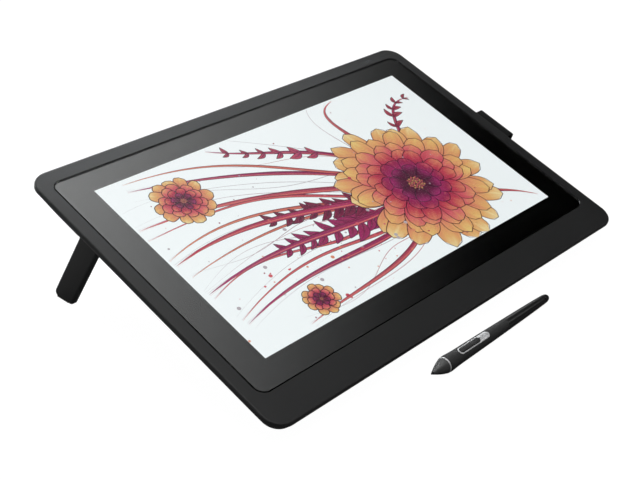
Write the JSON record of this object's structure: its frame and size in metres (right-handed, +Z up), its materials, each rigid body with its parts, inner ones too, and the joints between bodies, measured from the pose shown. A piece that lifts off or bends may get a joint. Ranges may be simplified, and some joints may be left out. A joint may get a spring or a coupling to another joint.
{
  "type": "graphics tablet with screen",
  "caption": "Pen display: slim screen in a wide dark bezel, tilted on fold-out legs, with a fabric pen loop, a power button on its top edge and a pressure pen lying in front.",
  "frame": {"origin": "centre of the front foot strip's contact face on the desk", "axes": "+X to the user's right along the front edge, +Y away from the user, +Z up from the desk"},
  "size_m": [0.4368, 0.2926, 0.1065],
  "materials": {
    "bezel_plastic": "fine moulded texture, dark grey",
    "case_plastic": "fine moulded texture, near black",
    "cover_glass": "etched, low glare",
    "black_print": "screen print under the glass",
    "screen": "lit picture",
    "optical_film": "matt white",
    "clear_acrylic": "clear",
    "led_phosphor": "matt",
    "sheet_metal": "plain sheet",
    "steel": "plain",
    "circuit_board": "solder mask",
    "component_black": "matt",
    "flex_copper": "plain",
    "tape": "matt",
    "rubber": "matt",
    "grip_rubber": "soft touch",
    "webbing": "woven",
    "gloss_black": "polished",
    "nib": "satin",
    "silver_trim": "satin silver"
  },
  "bodies": {
    "tablet": {"front_bezel": "bezel_plastic", "rear_cover": "case_plastic", "pen_loop_anchor": "case_plastic", "cable_inlet": "case_plastic", "cover_glass": "cover_glass", "black_border": "black_print", "lcd_panel": "screen", "diffuser_films": "optical_film", "reflector_sheet": "optical_film", "light_guide": "clear_acrylic", "light_pipe": "clear_acrylic", "led_strip": "led_phosphor", "status_led": "led_phosphor", "backlight_tray": "sheet_metal", "shield_plate": "sheet_metal", "chassis": "sheet_metal", "shield_can": "sheet_metal", "chassis_screws": "steel", "board_screws": "steel", "case_screws": "steel", "leg_hinge_pins": "steel", "hinge_washers": "steel", "digitizer_board": "circuit_board", "main_board": "circuit_board", "button_board": "circuit_board", "board_components": "component_black", "power_switch": "component_black", "display_flex": "flex_copper", "sensor_flex": "flex_copper", "glass_tape": "tape", "front_foot_strip": "rubber", "back_feet": "rubber", "pen_loop": "webbing"},
    "leg_left": {"leg_left": "case_plastic", "leg_pad_left": "rubber"},
    "leg_right": {"leg_right": "case_plastic", "leg_pad_right": "rubber"},
    "power_button": {"power_button": "case_plastic"},
    "pen": {"pen_cone": "gloss_black", "pen_ring": "silver_trim", "pen_grip": "grip_rubber", "pen_core": "component_black", "pen_switch_bezel": "silver_trim", "pen_rocker_pin": "steel", "pen_barrel": "gloss_black", "pen_coil": "flex_copper", "pen_pressure_sensor": "component_black", "pen_board": "circuit_board"},
    "pen_nib": {"pen_nib": "nib"},
    "pen_side_switch": {"pen_side_switch": "nib"},
    "pen_eraser": {"pen_eraser": "gloss_black"}
  },
  "joints": [
    {"name": "leg_left_fold", "type": "hinge", "parent": "tablet", "child": "leg_left", "pos_m": [-0.19245, 0.18979, 0.06835], "axis": [0, -0.9455, -0.3256], "range_deg": [0, 90]},
    {"name": "leg_right_fold", "type": "hinge", "parent": "tablet", "child": "leg_right", "pos_m": [0.19245, 0.18979, 0.06835], "axis": [0, 0.9455, 0.3256], "range_deg": [0, 90]},
    {"name": "power_button_press", "type": "slide", "parent": "tablet", "child": "power_button", "axis": [0, -0.9455, -0.3256], "range_m": [0, 0.0006], "stiffness_N_per_m": 1500},
    {"name": "pen_lift", "type": "slide", "parent": "tablet", "child": "pen", "axis": [0, 0, 1], "range_m": [0, 0.12]},
    {"name": "pen_nib_press", "type": "slide", "parent": "pen", "child": "pen_nib", "axis": [0.9996, 0.0157, -0.0219], "range_m": [0, 0.0005], "stiffness_N_per_m": 1500},
    {"name": "pen_switch_rock", "type": "hinge", "parent": "pen", "child": "pen_side_switch", "pos_m": [-0.0349, -0.04283, 0.00843], "axis": [-0.0082, 0.951, 0.3089], "range_deg": [-2.5, 2.5], "stiffness_Nm_per_rad": 0.25},
    {"name": "pen_eraser_press", "type": "slide", "parent": "pen", "child": "pen_eraser", "axis": [-0.9996, -0.0157, 0.0219], "range_m": [0, 0.0005], "stiffness_N_per_m": 1500}
  ]
}
